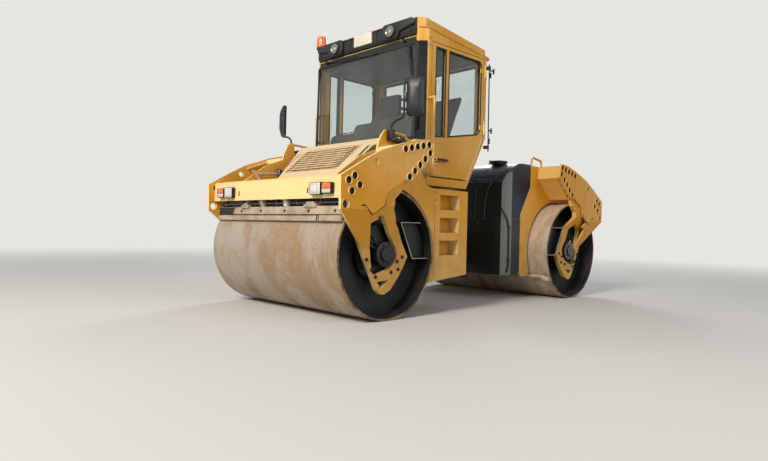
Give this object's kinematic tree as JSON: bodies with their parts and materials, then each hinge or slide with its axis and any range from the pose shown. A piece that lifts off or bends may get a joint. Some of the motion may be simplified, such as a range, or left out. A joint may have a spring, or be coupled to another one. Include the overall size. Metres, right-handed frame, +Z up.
{
  "type": "tandem road roller",
  "caption": "Articulated road roller with smooth steel drums front and rear, glazed cab over the centre, sloping louvred hood and water tank.",
  "frame": {"origin": "on the ground under the steering pivot, midway between the drums", "axes": "+X to the machine's left, +Y to its rear (the front faces -Y), +Z up"},
  "size_m": [2.3512, 4.67, 3.198],
  "materials": {
    "yellow_paint": "satin golden-yellow paint, sun faded",
    "hood_paint": "dusty pale yellow paint",
    "black_paint": "satin black paint",
    "grey_metal": "dark grey paint",
    "drum_steel": "worn rolled steel with rust and dust",
    "scraper_steel": "dusty dark paint",
    "rod_chrome": "polished",
    "lamp_lens": "clear and amber lenses in a black housing",
    "work_lens": "clear lens",
    "amber_lens": "ribbed amber dome on a black base",
    "glass": "clear",
    "rubber_black": "matt",
    "black_plastic": "matt black",
    "grey_plastic": "grained dark grey",
    "tank_plastic": "moulded blue-black",
    "seat_cloth": "woven dark cloth"
  },
  "bodies": {
    "front": {"front_frame": "yellow_paint", "step_boxes": "yellow_paint", "front_yoke_left": "yellow_paint", "front_yoke_right": "yellow_paint", "front_beam": "yellow_paint", "cab_frame": "yellow_paint", "cab_roof": "yellow_paint", "grab_rails": "yellow_paint", "front_lamps": "lamp_lens", "engine_block": "grey_metal", "front_hubs": "black_paint", "front_guards": "black_paint", "front_scrapers": "scraper_steel", "cab_mounts": "rubber_black", "light_bar": "black_plastic", "work_lamps": "work_lens", "beacon": "amber_lens", "windscreen": "glass", "corner_glass": "glass", "rear_window": "glass", "console": "grey_plastic", "steering_wheel": "black_plastic", "seat_base": "black_plastic", "seat_cushion": "seat_cloth", "seat_back": "seat_cloth", "mirrors": "black_plastic", "wipers": "black_plastic"},
    "hood": {"hood": "hood_paint"},
    "front_drum": {"front_drum": "drum_steel"},
    "door_left": {"door_left": "yellow_paint", "door_glass_left": "glass"},
    "door_right": {"door_right": "yellow_paint", "door_glass_right": "glass"},
    "link": {"pivot_link": "grey_metal"},
    "barrel": {"steer_barrel": "black_paint"},
    "rod": {"steer_rod": "rod_chrome"},
    "rear": {"rear_frame": "yellow_paint", "rear_yoke_left": "yellow_paint", "rear_yoke_right": "yellow_paint", "rear_beam": "yellow_paint", "rear_lamps": "lamp_lens", "water_tank": "tank_plastic", "tank_cap": "black_plastic", "tank_covers": "tank_plastic", "rear_hubs": "black_paint", "rear_guards": "black_paint", "rear_scrapers": "scraper_steel"},
    "rear_drum": {"rear_drum": "drum_steel"}
  },
  "joints": [
    {"name": "steering", "type": "hinge", "parent": "front", "child": "link", "pos_m": [0, 0, 0.62], "axis": [0, 0, 1], "range_deg": [-35, 35]},
    {"name": "frame_swing", "type": "hinge", "parent": "link", "child": "rear", "pos_m": [0, 0, 0.62], "axis": [0, 1, 0], "range_deg": [-8, 8]},
    {"name": "front_drum_roll", "type": "hinge", "parent": "front", "child": "front_drum", "pos_m": [0, -1.68, 0.61], "axis": [1, 0, 0], "continuous": true},
    {"name": "rear_drum_roll", "type": "hinge", "parent": "rear", "child": "rear_drum", "pos_m": [0, 1.68, 0.61], "axis": [1, 0, 0], "continuous": true},
    {"name": "door_left_swing", "type": "hinge", "parent": "front", "child": "door_left", "pos_m": [0.904, -0.064, 1.6], "axis": [0, 0, 1], "range_deg": [0, 85]},
    {"name": "door_right_swing", "type": "hinge", "parent": "front", "child": "door_right", "pos_m": [-0.904, -0.064, 1.6], "axis": [0, 0, 1], "range_deg": [-85, 0]},
    {"name": "hood_lift", "type": "hinge", "parent": "front", "child": "hood", "pos_m": [0, -1.15, 1.735], "axis": [-1, 0, 0], "range_deg": [0, 55]},
    {"name": "cylinder_turn", "type": "hinge", "parent": "front", "child": "barrel", "pos_m": [-0.52, -0.33, 0.93], "axis": [0, 0, 1], "range_deg": [-5, 5]},
    {"name": "cylinder_stroke", "type": "slide", "parent": "barrel", "child": "rod", "axis": [0.6731, 0.7395, 0], "range_m": [-0.092, 0.092]}
  ],
  "couplings": [
    {"joint": "cylinder_turn", "follows": "steering", "ratio": -0.134},
    {"joint": "cylinder_stroke", "follows": "steering", "m_per_rad": -0.1484}
  ]
}
